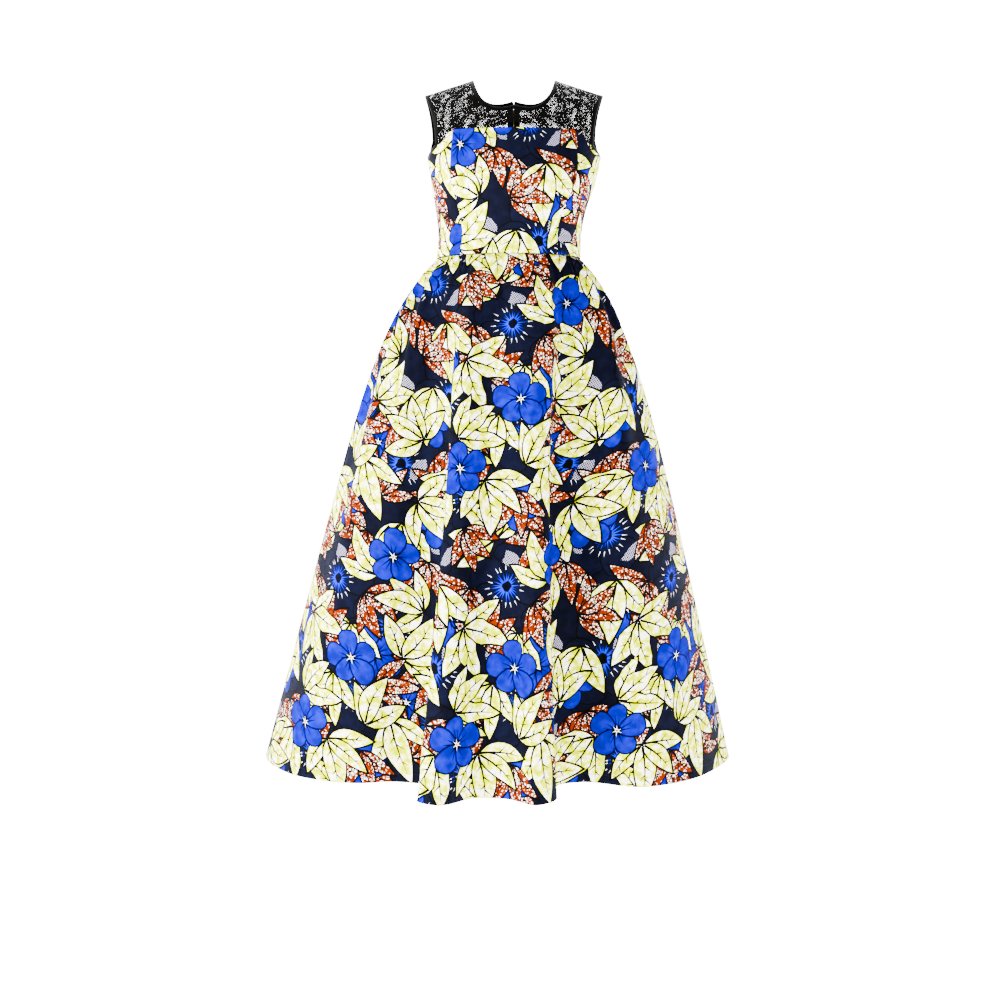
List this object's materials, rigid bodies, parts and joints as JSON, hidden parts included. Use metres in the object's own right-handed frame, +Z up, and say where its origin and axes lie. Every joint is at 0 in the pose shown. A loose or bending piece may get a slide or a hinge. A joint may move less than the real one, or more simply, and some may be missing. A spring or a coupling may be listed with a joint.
{
  "type": "ankara wax print dress",
  "caption": "Sleeveless midi dress in wax print cotton, with a see-through lace yoke, a fitted princess-seam bodice, a full gathered skirt and a zip at the centre back.",
  "frame": {"origin": "midway between the two shoulder seams, at the height of their middles, where the wearer's shoulders hold the dress", "axes": "+Z up, +X to the right as the front is seen, +Y from the front of the dress to its back"},
  "size_m": [0.762, 0.5879, 1.1505],
  "materials": {
    "wax_print_cotton": "matte printed cotton",
    "black_lace": "matte corded lace",
    "black_bias_binding": "soft satin weave",
    "zip_tape": "woven tape",
    "zip_metal": "antique brass"
  },
  "bodies": {
    "garment": {"yoke_front": "black_lace", "yoke_back_left": "black_lace", "yoke_back_right": "black_lace", "bodice_centre_front": "wax_print_cotton", "bodice_side_front_left": "wax_print_cotton", "bodice_side_front_right": "wax_print_cotton", "bodice_back_left": "wax_print_cotton", "bodice_back_right": "wax_print_cotton", "skirt_front": "wax_print_cotton", "skirt_back_left": "wax_print_cotton", "skirt_back_right": "wax_print_cotton", "neck_binding": "black_bias_binding", "armhole_binding_left": "black_bias_binding", "armhole_binding_right": "black_bias_binding", "zip_tape_left": "zip_tape", "zip_tape_right": "zip_tape", "zip_slider": "zip_metal"},
    "zip_pull": {"zip_pull": "zip_metal"}
  },
  "joints": [
    {"name": "zip_pull_hinge", "type": "hinge", "parent": "garment", "child": "zip_pull", "pos_m": [0, 0.07294, -0.02793], "axis": [1, 0, 0], "range_deg": [0, 150]}
  ]
}
